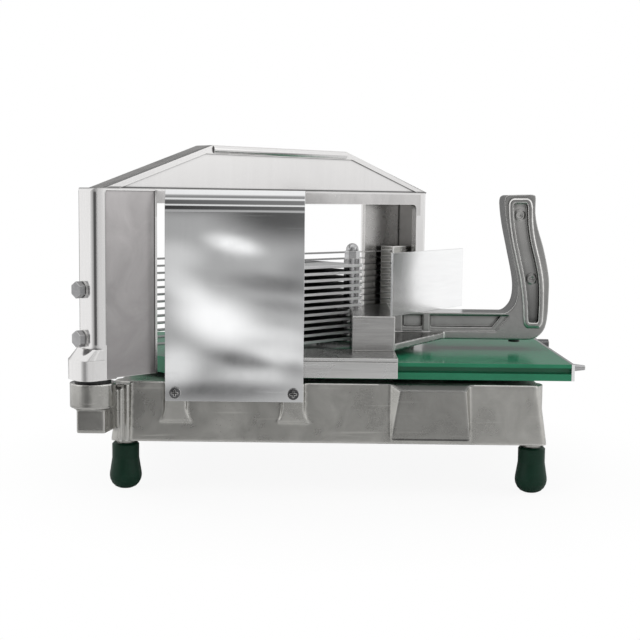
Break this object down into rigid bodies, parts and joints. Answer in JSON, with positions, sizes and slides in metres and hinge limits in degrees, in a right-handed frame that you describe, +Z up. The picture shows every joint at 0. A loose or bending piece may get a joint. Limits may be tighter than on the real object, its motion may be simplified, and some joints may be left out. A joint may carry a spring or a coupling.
{
  "type": "tomato slicer",
  "caption": "Hand-pushed tomato slicer: a stack of horizontal blades in a swing-out arched frame, set diagonally over a slide board with a finned pusher, handle and front guard.",
  "frame": {"origin": "centre of the bounding box, on the table plane under the feet", "axes": "+X along the slide board from the hinge end to the handle end, +Y from the guard side to the back, +Z up"},
  "size_m": [0.3382, 0.2537, 0.2275],
  "materials": {
    "cast_aluminium": "cast, lightly polished",
    "polished_aluminium": "polished casting",
    "stainless_sheet": "bright brushed sheet",
    "fastener_steel": "bright",
    "board_plastic": "glossy green",
    "foot_rubber": "smooth dark green",
    "black_plastic": "matt black"
  },
  "bodies": {
    "base": {"base_casting": "cast_aluminium", "rubber_foot_front_left": "foot_rubber", "rubber_foot_front_right": "foot_rubber", "rubber_foot_rear_left": "foot_rubber", "rubber_foot_rear_right": "foot_rubber", "slide_board": "board_plastic", "board_screws": "fastener_steel", "end_strip": "stainless_sheet", "stop_pin": "fastener_steel", "stop_screw": "fastener_steel", "front_guard": "stainless_sheet", "guard_screws": "fastener_steel", "hinge_pin": "fastener_steel", "locating_stud": "fastener_steel", "bearing_washers": "black_plastic"},
    "blade_frame": {"frame_casting": "polished_aluminium", "blade_1": "stainless_sheet", "blade_2": "stainless_sheet", "blade_3": "stainless_sheet", "blade_4": "stainless_sheet", "blade_5": "stainless_sheet", "blade_6": "stainless_sheet", "blade_7": "stainless_sheet", "blade_8": "stainless_sheet", "blade_9": "stainless_sheet", "blade_10": "stainless_sheet", "blade_11": "stainless_sheet", "blade_12": "stainless_sheet", "blade_13": "stainless_sheet", "front_blade_holder": "cast_aluminium", "rear_blade_holder": "cast_aluminium", "blade_rods": "fastener_steel", "tension_bolts": "fastener_steel", "tension_washers": "fastener_steel", "holder_screws": "fastener_steel"},
    "lock_knob": {"lock_screw": "fastener_steel"},
    "pusher": {"cross_beam": "cast_aluminium", "front_rail": "cast_aluminium", "rear_rail": "cast_aluminium", "rail_screws": "fastener_steel", "pusher_fin_1": "stainless_sheet", "pusher_fin_2": "stainless_sheet", "pusher_fin_3": "stainless_sheet", "pusher_fin_4": "stainless_sheet", "pusher_fin_5": "stainless_sheet", "pusher_fin_6": "stainless_sheet", "pusher_fin_7": "stainless_sheet", "pusher_fin_8": "stainless_sheet", "pusher_fin_9": "stainless_sheet", "pusher_fin_10": "stainless_sheet", "pusher_fin_11": "stainless_sheet", "pusher_fin_12": "stainless_sheet", "fin_spacers": "fastener_steel", "fin_studs": "fastener_steel", "cap_nuts": "fastener_steel", "push_handle": "cast_aluminium", "handle_screws": "fastener_steel", "glide_buttons": "black_plastic", "hand_guard": "stainless_sheet", "hand_guard_screws": "fastener_steel"}
  },
  "joints": [
    {"name": "pusher_slide", "type": "slide", "parent": "base", "child": "pusher", "axis": [1, 0, 0], "range_m": [0, 0.1139]},
    {"name": "frame_swing", "type": "hinge", "parent": "base", "child": "blade_frame", "pos_m": [-0.15373, -0.10938, 0.085], "axis": [0, 0, 1], "range_deg": [0, 75]},
    {"name": "lock_turn", "type": "hinge", "parent": "blade_frame", "child": "lock_knob", "pos_m": [0.0608, 0.10515, 0.08355], "axis": [0.7071, 0.7071, 0], "continuous": true}
  ]
}
